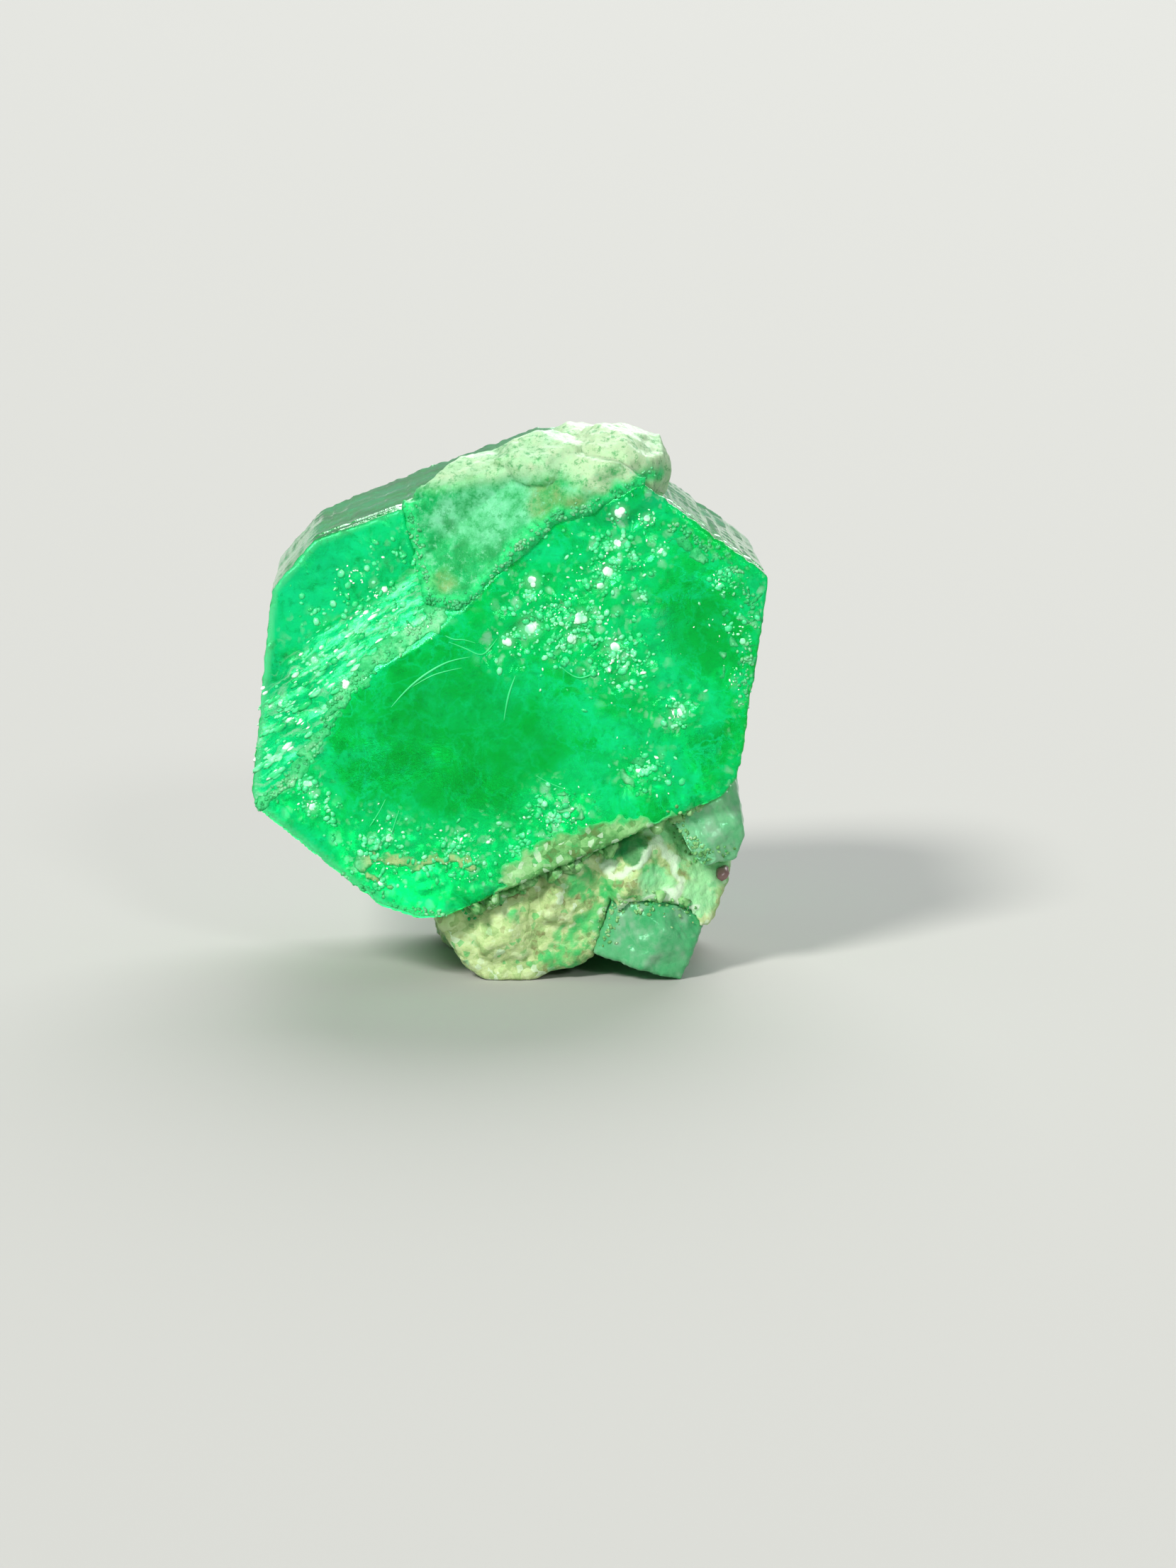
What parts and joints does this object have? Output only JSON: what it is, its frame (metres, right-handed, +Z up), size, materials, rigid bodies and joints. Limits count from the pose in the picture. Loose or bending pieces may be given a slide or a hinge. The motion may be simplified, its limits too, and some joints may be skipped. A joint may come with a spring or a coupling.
{
  "type": "emerald crystal on matrix",
  "caption": "Stubby hexagonal emerald crystal with a broken, stepped end, standing on a foot of pale host rock, with a cream calcite cap on its top corner.",
  "frame": {"origin": "on the ground at the middle of the box around the specimen", "axes": "+Z up, -Y out of the broken, two-level end of the prism, whose long axis lies along Y, +X to the right when the broken end is looked at"},
  "size_m": [0.008, 0.006, 0.0087],
  "materials": {
    "emerald": "clear saturated green with veils, crisp vitreous faces and a frosted break",
    "calcite": "cream, sugary, slightly translucent",
    "matrix": "granular tan and grey green rock with white veins",
    "pale_beryl": "cloudy pale green, vitreous"
  },
  "bodies": {
    "root": {"emerald_crystal": "emerald", "calcite_cap": "calcite", "matrix_foot": "matrix", "pale_crystal_point": "pale_beryl", "pale_crystal_plate": "pale_beryl"}
  },
  "joints": []
}
